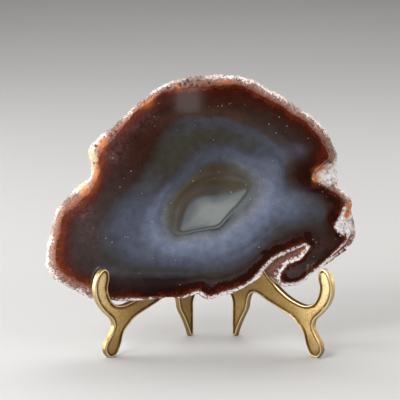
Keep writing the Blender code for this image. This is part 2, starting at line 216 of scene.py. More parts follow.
# Where the iron stain ends
STAIN_EDGE = (
    (-8.8, 108.3), (-3.7, 108.6), (1.3, 108.5), (6.8, 108.8), (12.3, 108.3), (17.3, 107.0), (21.5, 104.8),
    (25.7, 102.2), (29.9, 99.6), (34.1, 96.6), (38.3, 93.8), (41.2, 91.0), (43.3, 88.1), (44.1, 85.1),
    (43.2, 82.2), (40.6, 79.9), (38.1, 78.1), (37.4, 75.1), (38.4, 72.2), (40.9, 69.6), (44.7, 67.8),
    (49.0, 65.8), (52.8, 63.4), (52.8, 60.9), (50.6, 58.8), (49.7, 56.3), (50.9, 54.1), (52.2, 51.2),
    (54.1, 48.6), (55.1, 46.8), (52.9, 44.4), (49.9, 41.9), (46.4, 39.4), (43.0, 37.0), (39.5, 34.3),
    (36.5, 32.1), (33.5, 32.0), (31.8, 33.3), (33.1, 35.2), (36.1, 36.8), (39.2, 38.4), (41.3, 40.6),
    (43.3, 43.1), (43.6, 46.1), (41.0, 48.5), (37.6, 49.2), (34.2, 48.6), (30.3, 46.8), (26.9, 46.1),
    (24.3, 44.3), (21.3, 41.6), (18.7, 38.9), (15.3, 35.9), (11.8, 33.6), (7.6, 32.1), (2.5, 30.7),
    (-1.3, 30.2), (-4.7, 31.6), (-8.9, 30.8), (-13.6, 29.9), (-19.9, 29.5), (-26.2, 29.2), (-34.6, 29.3),
    (-41.7, 30.3), (-47.9, 33.2), (-52.8, 34.8), (-57.3, 37.4), (-60.0, 40.6), (-61.1, 44.4), (-60.8, 49.0),
    (-59.9, 53.9), (-58.5, 58.5), (-56.0, 61.6), (-51.8, 64.2), (-48.4, 67.4), (-46.2, 71.5), (-44.5, 76.1),
    (-42.7, 80.6), (-42.2, 86.0), (-40.0, 89.9), (-36.2, 92.5), (-32.8, 95.8), (-29.9, 99.5),
    (-26.0, 102.3), (-21.8, 105.6), (-18.0, 108.0), (-13.8, 108.3),
)
# Where brown turns to slate
BROWN_EDGE = (
    (-5.6, 100.7), (1.2, 100.2), (7.9, 99.4), (14.2, 97.0), (19.6, 94.0), (24.7, 91.4), (28.0, 88.4),
    (30.5, 85.4), (32.6, 82.4), (31.7, 79.0), (31.6, 74.8), (33.2, 70.2), (36.6, 66.3), (41.7, 64.1),
    (45.9, 62.5), (48.4, 59.3), (46.7, 56.4), (41.1, 55.7), (36.4, 53.7), (31.3, 51.9), (26.5, 49.3),
    (22.7, 46.0), (18.4, 42.3), (13.6, 39.1), (8.1, 36.7), (0.9, 35.2), (-6.7, 35.4), (-17.7, 35.9),
    (-26.9, 36.4), (-36.5, 37.5), (-42.3, 40.1), (-45.5, 44.8), (-47.1, 50.3), (-46.5, 56.1), (-43.9, 61.5),
    (-39.7, 66.4), (-35.0, 70.9), (-30.7, 75.3), (-27.3, 80.7), (-24.7, 86.5), (-22.1, 91.4), (-18.6, 95.9),
    (-14.4, 99.2), (-9.8, 100.6),
)
# The outer edge of the bright lavender ring
GLOW_EDGE = (
    (-2.0, 87.7), (5.2, 88.8), (11.9, 86.6), (17.3, 83.1), (22.0, 82.2), (26.6, 82.5), (30.0, 79.1),
    (30.3, 74.0), (31.1, 68.1), (34.4, 63.4), (37.8, 60.0), (34.3, 57.5), (28.4, 56.4), (22.8, 52.3),
    (17.6, 47.8), (11.2, 44.2), (2.2, 41.9), (-8.3, 41.3), (-19.2, 42.5), (-26.3, 44.7), (-30.0, 49.0),
    (-31.1, 54.5), (-29.8, 60.3), (-26.3, 65.2), (-22.1, 70.1), (-17.4, 75.5), (-12.2, 81.2), (-7.1, 85.7),
)
# The dome of olive and brown arcs over the eye
DOME_EDGE = (
    (-15.7, 50.5), (-18.6, 54.2), (-19.7, 60.5), (-18.4, 66.3), (-14.5, 71.6), (-9.4, 76.6), (-3.4, 80.2),
    (2.9, 81.7), (8.8, 80.8), (13.9, 77.7), (17.2, 73.9), (18.2, 70.5), (16.0, 66.2), (12.9, 62.8),
    (9.9, 59.7), (6.9, 56.4), (3.7, 53.3), (-1.4, 52.6), (-6.0, 52.0), (-10.7, 51.0),
)
# The pale eye
EYE_EDGE = (
    (-12.1, 53.2), (-11.4, 55.7), (-9.7, 59.8), (-7.9, 63.6), (-5.8, 66.2), (-1.5, 67.4), (4.8, 67.7),
    (10.3, 68.4), (15.0, 69.5), (13.2, 66.6), (10.7, 63.7), (7.6, 60.7), (5.1, 58.1), (2.5, 55.6),
    (-1.8, 54.8), (-6.8, 54.0),
)
# The reddish cores of the fold and of the lower right rim: (across, up, half width)
FOLD_CORE = (
    (23.7, 33.1, 2.6), (25.5, 36.0, 2.1), (28.5, 38.9, 1.6), (32.8, 41.1, 1.4), (36.7, 42.9, 1.2),
    (39.2, 44.3, 0.8),
)
RIM_CORE = ((59.4, 48.8, 0.5), (57.6, 45.6, 0.55), (54.7, 43.0, 0.5), (51.5, 40.6, 0.35))

# Local spots by name: (across, up, reach across, reach up, strength)
SPOTS = {
    "haze": (
        (-41.0, 84.7, 3.2, 3.2, 0.9), (-52.7, 60.4, 4.0, 3.5, 0.8), (-33.0, 96.5, 6.0, 3.0, 0.4),
        (33.1, 35.4, 4.2, 2.2, 0.5), (-24.8, 100.2, 5.0, 3.0, 0.4), (-39.0, 88.5, 5.0, 6.0, 0.45),
        (-50.0, 52.0, 6.0, 6.0, 0.35), (45.0, 45.0, 4.0, 2.4, 0.35),
    ),
    "glow": (
        (-24.5, 51.4, 3.4, 4.6, 0.7), (-9.1, 46.4, 18.0, 2.4, 0.35), (23.5, 68.0, 4.5, 8.0, 0.5),
        (36.0, 65.5, 7.0, 3.5, 0.8), (31.8, 84.2, 4.0, 4.0, 0.35), (-44.5, 36.8, 5.5, 2.0, 0.35),
    ),
    "blue": ((37.7, 85.6, 3.0, 2.6, 0.8),),
    "olive": (
        (-41.4, 42.6, 4.0, 4.6, 0.6), (22.1, 48.6, 4.0, 1.6, 0.5), (29.0, 52.4, 4.5, 2.0, 0.7),
        (10.0, 91.0, 5.0, 2.6, 0.6), (16.5, 87.8, 4.2, 3.0, 0.9),
    ),
    "tongue": (
        (41.2, 75.4, 3.5, 5.2, 1.0), (46.0, 68.6, 5.5, 1.3, 0.9), (51.5, 65.2, 3.0, 1.2, 0.8),
        (42.4, 46.4, 3.2, 2.0, 0.7), (49.5, 41.6, 2.4, 2.4, 0.6),
    ),
    "blob": (
        (23.4, 42.8, 3.0, 1.2, 1.0), (28.6, 44.8, 3.2, 1.2, 1.0), (35.2, 47.2, 1.8, 1.3, 1.0),
        (40.8, 49.8, 2.0, 1.6, 1.0), (52.4, 57.2, 2.0, 2.4, 1.0), (53.6, 49.4, 1.4, 1.4, 0.7),
    ),
    "orange": (
        (-26.4, 106.8, 2.6, 2.4, 1.0), (-44.2, 88.9, 1.8, 3.0, 1.0), (-47.6, 77.6, 1.5, 3.2, 1.0),
        (8.1, 115.1, 2.4, 1.2, 0.8), (44.3, 74.0, 0.9, 1.7, 1.0), (47.0, 77.5, 3.4, 1.2, 0.8),
        (-52.1, 70.0, 3.0, 1.6, 0.7), (-46.9, 73.2, 2.4, 4.4, 0.7), (-12.9, 112.9, 1.5, 1.0, 0.8),
        (58.5, 60.4, 0.7, 1.6, 1.6), (57.5, 57.8, 0.7, 1.6, 1.6), (37.8, 43.3, 1.7, 0.7, 1.0),
    ),
    "yellow": ((-48.4, 83.0, 1.8, 4.6, 1.0), (-53.4, 71.4, 3.6, 2.0, 1.0), (45.6, 74.2, 1.5, 2.4, 0.8)),
    "ochre": (
        (-7.0, 114.4, 9.0, 2.0, 0.75), (-38.5, 97.2, 7.0, 5.0, 1.0), (-27.0, 106.5, 6.0, 5.0, 0.9),
        (-57.8, 65.6, 3.4, 4.0, 0.9), (-63.6, 56.0, 2.0, 6.0, 0.5), (52.3, 86.5, 2.5, 5.0, 1.0),
    ),
    "white": ((50.0, 74.6, 4.8, 4.4, 1.0), (57.6, 55.0, 3.2, 6.0, 1.0)),
    "frost": ((60.8, 54.8, 2.0, 3.6, 1.0),),
}

# Pits in the rind near its front edge: (across, up)
PITS = (
    (-47.9, 89.4), (-39.1, 95.1), (-41.2, 93.7), (16.1, 112.4), (50.5, 85.4), (51.3, 80.3), (-9.9, 114.5),
    (-7.0, 114.1), (-4.5, 113.6), (-1.6, 113.5), (-13.7, 112.5), (-17.1, 113.0), (-28.5, 104.4),
    (-4.2, 115.9), (-8.6, 115.5), (0.4, 114.7), (-12.0, 114.2),
)
# Grains of white dust caught in the polish: (across, up)
DUST = (
    (-36.2, 50.9), (-35.0, 50.8), (25.2, 96.8), (29.5, 99.7), (20.1, 45.2), (8.6, 68.6), (15.0, 71.4),
    (-24.8, 56.8), (8.4, 105.5), (3.8, 104.7), (5.4, 104.7), (32.8, 95.8), (28.1, 93.0), (-44.2, 50.6),
    (-41.7, 48.9), (-7.3, 73.6), (-16.7, 64.6), (-37.9, 71.8), (-33.2, 78.3), (-40.6, 83.9),
    (43.2, 47.8), (44.5, 46.6), (41.8, 45.2),
)

# Colours of the agate, linear
INK = (0.009, 0.002, 0.001)
NIGHT = (0.017, 0.009, 0.008)
OXBLOOD = (0.020, 0.003, 0.001)
MAROON = (0.036, 0.005, 0.002)
BRICK = (0.085, 0.012, 0.003)
RUST = (0.13, 0.028, 0.011)
EMBER = (0.225, 0.060, 0.022)
WINE = (0.066, 0.019, 0.015)
SEPIA = (0.031, 0.010, 0.006)
UMBER = (0.031, 0.019, 0.016)
BROWN = (0.045, 0.022, 0.013)
TAUPE = (0.044, 0.032, 0.030)
MOSS = (0.037, 0.035, 0.025)
GARNET = (0.018, 0.003, 0.0015)
OLIVE = (0.046, 0.036, 0.016)
DRAB = (0.058, 0.042, 0.038)
SLATE = (0.045, 0.045, 0.054)
STEEL = (0.055, 0.059, 0.078)
DUSK = (0.068, 0.075, 0.108)
MIST = (0.089, 0.101, 0.139)
PERIWINKLE = (0.122, 0.142, 0.207)
GLOW = (0.162, 0.185, 0.264)
LAVENDER = (0.178, 0.192, 0.240)
LINE = (0.050, 0.056, 0.062)
KHAKI = (0.068, 0.058, 0.041)
SAGE = (0.082, 0.080, 0.066)
ASH = (0.112, 0.122, 0.133)
PEWTER = (0.145, 0.156, 0.155)
EYE = (0.220, 0.243, 0.240)
MAUVE = (0.130, 0.066, 0.066)
VIOLET = (0.068, 0.060, 0.090)

# Bands by direction from the eye: (direction in degrees, ((level, colour), ...)). Level 0 is the
# face's edge, and each whole level is the next line in.
BANDS = (
    (0, (
        (0.35, BRICK), (0.7, MAROON), (1.0, OXBLOOD), (1.25, SEPIA), (1.5, UMBER), (1.8, TAUPE),
        (2.1, SLATE), (2.5, STEEL), (2.9, DUSK), (3.1, MIST), (3.3, PERIWINKLE), (3.45, GLOW),
        (3.65, LAVENDER), (3.9, ASH), (4.15, PEWTER), (4.4, ASH), (4.65, SAGE), (4.9, ASH), (5.05, EYE),
    )),
    (45, (
        (0.25, BRICK), (0.5, MAROON), (1.0, SEPIA), (1.5, UMBER), (1.9, TAUPE), (2.1, STEEL), (2.8, STEEL),
        (3.0, DUSK), (3.2, MIST), (3.5, MIST), (3.8, ASH), (4.1, SAGE), (4.35, KHAKI), (4.45, SAGE),
        (4.6, KHAKI), (4.8, KHAKI), (4.95, SAGE), (5.15, ASH), (5.5, PEWTER), (6.0, EYE),
    )),
    (88, (
        (0.0, RUST), (0.25, BRICK), (0.5, MAROON), (1.0, MAROON), (1.4, SEPIA), (1.7, BROWN), (1.93, BROWN),
        (2.1, SLATE), (2.35, SLATE), (2.55, MOSS), (2.85, MOSS), (3.1, SLATE), (3.5, STEEL), (3.85, STEEL),
        (4.02, SLATE), (4.12, OLIVE), (4.24, OLIVE), (4.34, DRAB), (4.43, OLIVE), (4.52, DRAB),
        (4.6, OLIVE), (4.66, OLIVE), (4.77, DRAB), (4.88, SLATE), (4.96, DRAB), (5.1, SAGE), (5.35, ASH),
        (5.6, PEWTER), (5.95, EYE),
    )),
    (137, (
        (0.25, RUST), (0.6, WINE), (1.0, WINE), (1.25, SEPIA), (1.93, SEPIA), (2.12, UMBER), (2.35, MOSS),
        (2.9, MOSS), (3.2, TAUPE), (3.4, SLATE), (3.9, STEEL), (4.1, STEEL), (4.3, KHAKI), (4.45, OLIVE),
        (4.58, DRAB), (4.75, KHAKI), (4.86, DRAB), (4.97, KHAKI), (5.12, ASH), (5.35, PEWTER), (6.0, EYE),
    )),
    (190, (
        (0.0, EMBER), (0.35, RUST), (0.7, RUST), (1.0, WINE), (1.3, TAUPE), (1.95, TAUPE), (2.1, SLATE),
        (2.3, STEEL), (2.6, DUSK), (3.0, DUSK), (3.2, MIST), (3.55, PERIWINKLE), (3.8, MIST), (4.0, ASH),
        (4.2, SAGE), (4.4, KHAKI), (4.55, SAGE), (4.68, KHAKI), (4.8, DRAB), (4.95, ASH), (5.1, ASH),
        (5.5, PEWTER), (6.0, EYE),
    )),
    (235, (
        (0.0, BRICK), (0.2, MAROON), (0.45, OXBLOOD), (0.8, INK), (1.2, NIGHT), (1.5, NIGHT), (1.85, SLATE),
        (2.05, MOSS), (2.25, SLATE), (2.6, DUSK), (2.95, MIST), (3.2, PERIWINKLE), (3.5, GLOW),
        (3.75, LAVENDER), (3.98, ASH), (4.12, LINE), (4.4, PEWTER), (4.66, LINE), (4.85, ASH),
        (5.05, PEWTER), (5.6, EYE),
    )),
    (268, (
        (0.0, BRICK), (0.25, MAROON), (0.55, OXBLOOD), (0.85, OXBLOOD), (0.95, UMBER), (1.15, TAUPE),
        (1.4, UMBER), (1.7, TAUPE), (1.85, MOSS), (2.0, SLATE), (2.3, STEEL), (2.6, DUSK), (2.9, MIST),
        (3.2, PERIWINKLE), (3.5, GLOW), (3.75, LAVENDER), (3.95, ASH), (4.05, LINE), (4.18, LINE),
        (4.3, ASH), (4.5, PEWTER), (4.63, LINE), (4.7, LINE), (4.85, PEWTER), (5.05, EYE),
    )),
    (312, (
        (0.0, MAROON), (0.3, OXBLOOD), (0.9, OXBLOOD), (1.05, TAUPE), (1.3, UMBER), (1.7, TAUPE),
        (2.0, SLATE), (2.35, STEEL), (2.65, MIST), (2.95, DUSK), (3.2, PERIWINKLE), (3.55, GLOW),
        (3.75, LAVENDER), (3.93, ASH), (4.02, LINE), (4.24, LINE), (4.36, PEWTER), (4.54, PEWTER),
        (4.62, LINE), (4.72, LINE), (4.84, PEWTER), (5.02, EYE),
    )),
)
# How far the iron stain creeps over the face's edge into the rind, by direction from the eye
RUST_CREEP = (
    (0.0, 0.4), (45.0, 1.0), (137.0, 1.1), (190.0, 0.8), (232.0, 0.9), (255.0, 0.95), (292.0, 0.8),
    (305.0, 0.35), (340.0, 0.3), (360.0, 0.4),
)

# Colours of the rind and its crystals, linear
CHALK = (0.86, 0.77, 0.73)
ROSE = (0.27, 0.16, 0.14)
EARTH = (0.08, 0.038, 0.025)
SALMON = (0.30, 0.085, 0.05)
CRYSTAL = (0.80, 0.75, 0.75)
ICE = (0.74, 0.73, 0.75)
FROST = (0.34, 0.31, 0.30)
OCHRE = (0.18, 0.10, 0.062)
PIT_BROWN = (0.045, 0.014, 0.005)
HOAR = (0.11, 0.085, 0.075)
FLAME = (0.34, 0.095, 0.030)
ORANGE = (0.55, 0.15, 0.022)
FOLD_BROWN = (0.13, 0.08, 0.055)
YELLOW = (0.54, 0.41, 0.23)

# Colours of the brass, linear. The darkest is painted shade and dark reflection, and the palest also serves
# as painted highlight.
BRASS_PAINTED_SHADE = (0.20, 0.11, 0.03)
BRASS_DEEP = (0.62, 0.40, 0.13)
BRASS_WARM = (0.76, 0.54, 0.22)
BRASS_PALE = (0.90, 0.72, 0.40)
TARNISH = (0.09, 0.045, 0.012)

# Floor: how far it reaches, where it starts to curve up and how high it goes
FLOOR_WIDTH = 3000.0
FLOOR_NEAR = -3000.0
FLOOR_FAR = 1600.0
FLOOR_BEND = 900.0
FLOOR_TOP = 2600.0
FLOOR_GREY = (0.44, 0.436, 0.43)
FLOOR_PALE = (0.47, 0.466, 0.46)

# Lights: (name, azimuth, elevation, distance, width, height, power, colour)
WHITE = (1.0, 1.0, 1.0)
AMBER = (1.0, 0.80, 0.58)
LIGHTS = (
    ("key", -42.0, 38.0, 900.0, 420.0, 420.0, 7.2, WHITE),
    ("fill", 48.0, 30.0, 1000.0, 500.0, 500.0, 3.0, WHITE),
    ("top", 180.0, 60.0, 2000.0, 1500.0, 1500.0, 26.0, WHITE),
    ("side_left", -90.0, 10.0, 800.0, 700.0, 500.0, 9.0, WHITE),
    ("side_right", 92.0, 10.0, 800.0, 500.0, 400.0, 1.6, AMBER),
    ("rim_left", -125.0, 25.0, 800.0, 400.0, 600.0, 1.8, WHITE),
    ("rim_right", 125.0, 25.0, 800.0, 400.0, 600.0, 2.0, WHITE),
    ("window", 12.42, 12.19, 900.0, 22.0, 26.0, 0.0025, WHITE),
)
SKY_STRENGTH = 0.05


def smooth_loop(points, steps):
    """A closed Catmull-Rom curve through the points, with steps points to a span."""
    start = np.array(points, float)
    before, end, after = (np.roll(start, shift, axis=0) for shift in (1, -1, -2))
    bend = 2 * before - 5 * start + 4 * end - after
    twist = 3 * start - before - 3 * end + after
    loop = []
    for step in range(steps):
        t = step / steps
        loop.append(0.5 * (2 * start + (end - before) * t + bend * t ** 2 + twist * t ** 3))
    return np.stack(loop, axis=1).reshape(-1, start.shape[1])


def even_loop(loop, count):
    """The same closed loop with count points at even distances along it."""
    closed = np.vstack([loop, loop[:1]])
    walked = np.concatenate([[0.0], np.cumsum(np.linalg.norm(np.diff(closed[:, :2], axis=0), axis=1))])
    wanted = np.arange(count) * walked[-1] / count
    return np.stack([np.interp(wanted, walked, column) for column in closed.T], axis=1)


def loop_length(loop):
    return np.linalg.norm(loop[:, :2] - np.roll(loop[:, :2], -1, axis=0), axis=1).sum()


def outward_normals(loop, reach):
    """Unit normals that point out of a clockwise loop, smoothed over reach points each way."""
    step = np.roll(loop[:, :2], -reach, axis=0) - np.roll(loop[:, :2], reach, axis=0)
    normals = np.stack([-step[:, 1], step[:, 0]], axis=1)
    return normals / np.linalg.norm(normals, axis=1, keepdims=True)


def tree_of(points):
    tree = kdtree.KDTree(len(points))
    for index, (x, y) in enumerate(points):
        tree.insert((x, y, 0.0), index)
    tree.balance()
    return tree


def nearest(tree, places):
    """The distance from each place to the tree's nearest point."""
    return np.array([tree.find((x, y, 0.0))[2] for x, y in places])


def inside(places, loop):
    """Which places lie inside a closed loop."""
    x, y = places[:, 0], places[:, 1]
    within = np.zeros(len(places), bool)
    for (x0, y0), (x1, y1) in zip(loop, np.roll(loop, -1, axis=0)):
        if y0 != y1:
            within ^= ((y0 > y) != (y1 > y)) & (x < (x1 - x0) * (y - y0) / (y1 - y0) + x0)
    return within


class Contour:
    """A closed line that tells how far inside it places are."""

    def __init__(self, loop, step=CONTOUR_STEP):
        fine = even_loop(loop[:, :2], int(loop_length(loop) / step))
        self.tree = tree_of(fine)
        self.loop = fine[::4]
        self.low, self.high = loop[:, :2].min(axis=0), loop[:, :2].max(axis=0)

    def gap(self, places):
        return nearest(self.tree, places)

    def depth(self, places):
        """The distance to the line, positive inside it."""
        return np.where(inside(places, self.loop), 1.0, -1.0) * self.gap(places)

    def grid(self, spacing, margin):
        """Points of an even triangle grid that lie inside the line by more than a margin."""
        row_step = spacing * math.sqrt(0.75)
        columns, rows = ((self.high - self.low) / (spacing, row_step)).astype(int) + 1
        row, column = np.mgrid[0:rows, 0:columns]
        across = self.low[0] + (column + 0.5 * (row % 2)) * spacing
        points = np.stack([across.ravel(), (self.low[1] + row * row_step).ravel()], axis=1)
        return points[self.depth(points) > margin]


def ring_faces(low, high, count):
    """Quads between two rings of count points that start at low and at high."""
    faces = []
    for index in range(count):
        after = (index + 1) % count
        faces.append((low + index, low + after, high + after, high + index))
    return faces


def fill_loop(loop, inner):
    """Anticlockwise triangles that fill a loop through inner points, which are numbered after it."""
    points = np.vstack([loop, inner])
    rim = [(index, (index + 1) % len(loop)) for index in range(len(loop))]
    places = [Vector(place) for place in points]
    _, _, faces, origin, _, _ = geometry.delaunay_2d_cdt(places, rim, [], 0, 1e-4, True)
    named = np.array([[origin[corner][0] for corner in face] for face in faces
                      if len(face) == 3 and all(origin[corner] for corner in face)])
    named = named[inside(points[named].mean(axis=1), loop)]
    a, b, c = (points[named[:, corner]] for corner in range(3))
    turn = (b[:, 0] - a[:, 0]) * (c[:, 1] - a[:, 1]) - (b[:, 1] - a[:, 1]) * (c[:, 0] - a[:, 0])
    return np.where((turn < 0)[:, None], named[:, ::-1], named)


def mesh_object(name, verts, faces, material, attributes, sharp=None):
    """A smooth shaded mesh, from places in millimetres in the row frame."""
    mesh = bpy.data.meshes.new(name)
    mesh.from_pydata((np.asarray(verts) * MM).tolist(), [], faces)
    mesh.polygons.foreach_set("use_smooth", [True] * len(mesh.polygons))
    for key, values in attributes.items():
        values = np.asarray(values, np.float32)
        kind, field = ("FLOAT", "value") if values.ndim == 1 else ("FLOAT_VECTOR", "vector")
        mesh.attributes.new(key, kind, "POINT").data.foreach_set(field, values.ravel())
    if sharp is not None:
        ends = np.zeros(len(mesh.edges) * 2, np.int32)
        mesh.edges.foreach_get("vertices", ends)
        ends = ends.reshape(-1, 2)
        mesh.edges.foreach_set("use_edge_sharp", sharp[ends[:, 0]] & sharp[ends[:, 1]])
    mesh.update()
    mesh.materials.append(material)
    item = bpy.data.objects.new(name, mesh)
    bpy.context.scene.collection.objects.link(item)
    return item


def padded(total, start, values):
    """That many zeros, with the values in place of those from start on."""
    filled = np.zeros(total)
    filled[start:start + len(values)] = values
    return filled


class Value:
    """A number or colour that varies over a material."""

    def __init__(self, shader, socket):
        self.shader = shader
        self.socket = socket

    def __add__(self, other):
        return self.shader.math("ADD", self, other)

    def __sub__(self, other):
        return self.shader.math("SUBTRACT", self, other)

    def __mul__(self, other):
        return self.shader.math("MULTIPLY", self, other)

    def most(self, other):
        return self.shader.math("MAXIMUM", self, other)

    def between(self, low, high):
        """0 below low, 1 above high, and a soft step from one to the other."""
        feeds = {"Value": self, "From Min": low, "From Max": high}
        return self.shader.node("ShaderNodeMapRange", feeds, interpolation_type="SMOOTHSTEP")

    def fade(self, low, high):
        """1 below low, 0 above high, and a soft step from one to the other."""
        return self.shader.math("SUBTRACT", 1.0, self.between(low, high))

    def scaled(self, factor):
        return self.shader.node("ShaderNodeVectorMath", {0: self, "Scale": factor}, operation="SCALE")

    def toward(self, colour, share):
        """This colour, turned into another by that share."""
        return self.shader.mix(share, self, colour)


class Shader:
    """Adds nodes to one material and links them as it goes. Sizes are in millimetres."""

    def __init__(self, name):
        self.material = bpy.data.materials.new(name)
        self.material.use_nodes = True
        self.tree = self.material.node_tree
        self.place = self.attribute("place", "Vector")

    def feed(self, socket, value):
        if isinstance(value, Value):
            self.tree.links.new(value.socket, socket)
        elif isinstance(value, tuple) and socket.type == "RGBA":
            socket.default_value = (*value, 1.0)
        else:
            socket.default_value = value

    def add(self, kind, feeds, **settings):
        made = self.tree.nodes.new(kind)
        for key, value in settings.items():
            setattr(made, key, value)
        for key, value in feeds.items():
            self.feed(made.inputs[key], value)
        return made

    def node(self, kind, feeds, output=0, **settings):
        return Value(self, self.add(kind, feeds, **settings).outputs[output])

    def finish(self, **feeds):
        """The material, with those inputs of its surface fed."""
        surface = self.tree.nodes["Principled BSDF"]
        for key, value in feeds.items():
            self.feed(surface.inputs[key.replace("_", " ")], value)
        return self.material

    def attribute(self, name, output="Fac"):
        return self.node("ShaderNodeAttribute", {}, output, attribute_name=name)

    def math(self, operation, a, b, clamp=False):
        return self.node("ShaderNodeMath", {0: a, 1: b}, operation=operation, use_clamp=clamp)

    def mix(self, share, a, b):
        return self.node("ShaderNodeMix", {0: share, 6: a, 7: b}, 2, data_type="RGBA")

    def ramp(self, value, stops, span=1.0):
        made = self.add("ShaderNodeValToRGB", {"Fac": value})
        elements = made.color_ramp.elements
        while len(elements) < len(stops):
            elements.new(1.0)
        for element, (place, colour) in zip(elements, stops):
            element.position = place / span
            element.color = (*colour, 1.0)
        return Value(self, made.outputs[0])

    def noise(self, size, detail=2.0, roughness=0.5):
        """Noise from 0 to 1 with blobs of about that size."""
        feeds = {"Vector": self.place, "Scale": 1.0 / size, "Detail": detail, "Roughness": roughness}
        return self.node("ShaderNodeTexNoise", feeds)

    def swing(self, size, height, detail=2.0):
        """Noise from about -height to height."""
        return (self.noise(size, detail) - 0.5) * (2.0 * height)

    def cells(self, spacing):
        """Scattered centres: the distance to the nearest, about 0 to 0.8, and its own number, 0 to 1."""
        made = self.add("ShaderNodeTexVoronoi", {"Vector": self.place, "Scale": 1.0 / spacing})
        number = self.node("ShaderNodeSeparateColor", {0: Value(self, made.outputs["Color"])})
        return Value(self, made.outputs["Distance"]), number

    def bump(self, height, distance, strength):
        return self.node("ShaderNodeBump", {"Height": height, "Distance": distance, "Strength": strength})


def direction(places):
    """The direction of places from the eye, in degrees."""
    return np.degrees(np.arctan2(places[:, 1] - EYE_CENTRE[1], places[:, 0] - EYE_CENTRE[0])) % 360


def rust_creep(places):
    return np.interp(direction(places), *np.array(RUST_CREEP).T)


def direction_weights(places):
    """For each direction in BANDS, how much each place follows it."""
    angles = direction(places)
    marked = [angle for angle, _ in BANDS]
    weights = np.zeros((len(BANDS), len(places)))
    for index, here in enumerate(marked):
        after = (index + 1) % len(marked)
        share = ((angles - here) % 360) / ((marked[after] - here) % 360)
        soft = share * share * (3 - 2 * share)
        weights[index] += np.where(share < 1, 1 - soft, 0.0)
        weights[after] += np.where(share < 1, soft, 0.0)
    return weights


def band_level(places, contours):
    """How many bands in from the face's edge each place is, with a share of the way to the next."""
    gaps = [contour.gap(places) for contour in contours]
    level = -gaps[0]
    for index, contour in enumerate(contours):
        if index + 1 < len(contours):
            share = gaps[index] / (gaps[index] + gaps[index + 1] + 1e-6)
        else:
            share = np.minimum(1.0, gaps[index] / EYE_REACH)
        level = np.where(inside(places, contour.loop), index + share, level)
    return level


def core_distance(places, line):
    """How far places are from a line, in half widths of the line there."""
    core = np.array(line)
    steps = np.linspace(0, len(core) - 1, CORE_POINTS)
    dense = np.stack([np.interp(steps, np.arange(len(core)), column) for column in core.T], axis=1)
    tree = tree_of(dense[:, :2])
    found = [tree.find((x, y, 0.0)) for x, y in places]
    return np.array([gap / dense[index, 2] for _, index, gap in found])


def spots(places, table):
    """Soft round spots: how strongly each place lies in them, 0 to 1."""
    total = np.zeros(len(places))
    for across, up, reach_across, reach_up, strength in table:
        far = ((places[:, 0] - across) / reach_across) ** 2 + ((places[:, 1] - up) / reach_up) ** 2
        total = np.maximum(total, strength * np.exp(-far * SPOT_FALL))
    return total


def pit_at(place, spot, depth):
    """How deep in a pit a place on the rind is, 0 to 1. Spot is where it lies without the slope."""
    distances, _ = noise.voronoi(place / PIT_CELL)
    pit = max(0.0, 1.0 - distances[0] * PIT_CELL / PIT_RADIUS)
    pit *= 1.0 if noise.cell(spot / PIT_PATCH) > 0.1 else 0.3
    for across, up in PITS:
        gap = math.hypot(place.x - across, place.y - up)
        if gap < MARKED_PIT_REACH and depth < 0.5:
            ragged = gap + 0.6 * noise.noise(place / MARKED_PIT_GRAIN)
            pit = max(pit, 1.0 - ragged / MARKED_PIT_RADIUS)
    return min(1.0, pit * 1.6) ** 0.7 if pit > 0 else 0.0


def rind_surface(outline, normals, face):
    """Rings round the slab from the front edge to the back, each with its own lumps and pits."""
    slope = np.array(RIND_SLOPE)
    steps = np.linalg.norm(np.diff(slope * (SLAB_THICKNESS, RIND_WIDTH), axis=0), axis=1)
    walked = np.concatenate([[0.0], np.cumsum(steps)])
    wanted = np.linspace(0.0, walked[-1], RIND_RINGS)
    depths, shares = (np.interp(wanted, walked, column) for column in slope.T)
    front_edge = face.depth(outline[:, :2] - normals * outline[:, 2:3])
    verts, edges, pits = [], [], []
    for depth, share, gone in zip(depths, shares, wanted):
        y = depth * SLAB_THICKNESS
        rough = min(1.0, 0.5 + gone * 0.8)
        wear = BACK_EDGE_WEAR * max(0.0, depth - WEAR_START) / (1.0 - WEAR_START)
        for (across, up, rind), normal, front in zip(outline, normals, front_edge):
            flare = min(1.0, rind / FLARE_WIDTH)
            spot = Vector((across, up, y))
            place = Vector((across - normal[0] * share * rind, up - normal[1] * share * rind, y))
            pit = pit_at(place, spot, depth)
            grain = noise.fractal(place / GRAIN_SIZE, 0.7, 2.0, 3)
            crystal = noise.noise(Vector((across, up, 40.0 + y)) / CRYSTAL_SIZE)
            out = LUMP_HEIGHT * noise.noise(spot / LUMP_SIZE) * (0.4 + 0.6 * flare)
            out += CRYSTAL_HEIGHT * crystal + rough * (GRAIN_HEIGHT * (grain - 0.35) - PIT_DEPTH * pit)
            out -= share * rind + (1.0 - flare) * UNDERCUT * depth ** 2 + wear
            verts.append((across + normal[0] * out, y, up + normal[1] * out))
            edges.append(min(front, 0.6) - gone)
            pits.append(pit * rough)
    return np.array(verts), np.array(edges), np.array(pits)


def face_points(boundary, face, eye):
    """Points inside the front face, closer together where it is rough and where its lines are fine."""
    rim = Contour(boundary)
    chosen = []
    for spacing in (FACE_GRID, EYE_GRID, SKIN_GRID):
        grid = rim.grid(spacing, spacing * 0.55)
        skin = face.depth(grid) < SKIN_REACH
        lines = (np.abs(eye.depth(grid) + EYE_LINES_OUT) < EYE_LINES_REACH) & (grid[:, 1] < EYE_LINES_TOP)
        wanted = {FACE_GRID: ~skin & ~lines, EYE_GRID: lines & ~skin, SKIN_GRID: skin}[spacing]
        chosen.append(grid[wanted])
    grid = np.vstack(chosen)
    dust = np.array(DUST)
    grains = [grid[nearest(tree_of(dust), grid) > DUST_RADIUS * 2.4], dust]
    for radius in (DUST_RADIUS, DUST_RADIUS * 1.7):
        for angle in np.radians(np.arange(0, 360, 60)):
            grains.append(dust + radius * np.array((math.cos(angle), math.sin(angle))))
    return np.vstack(grains)


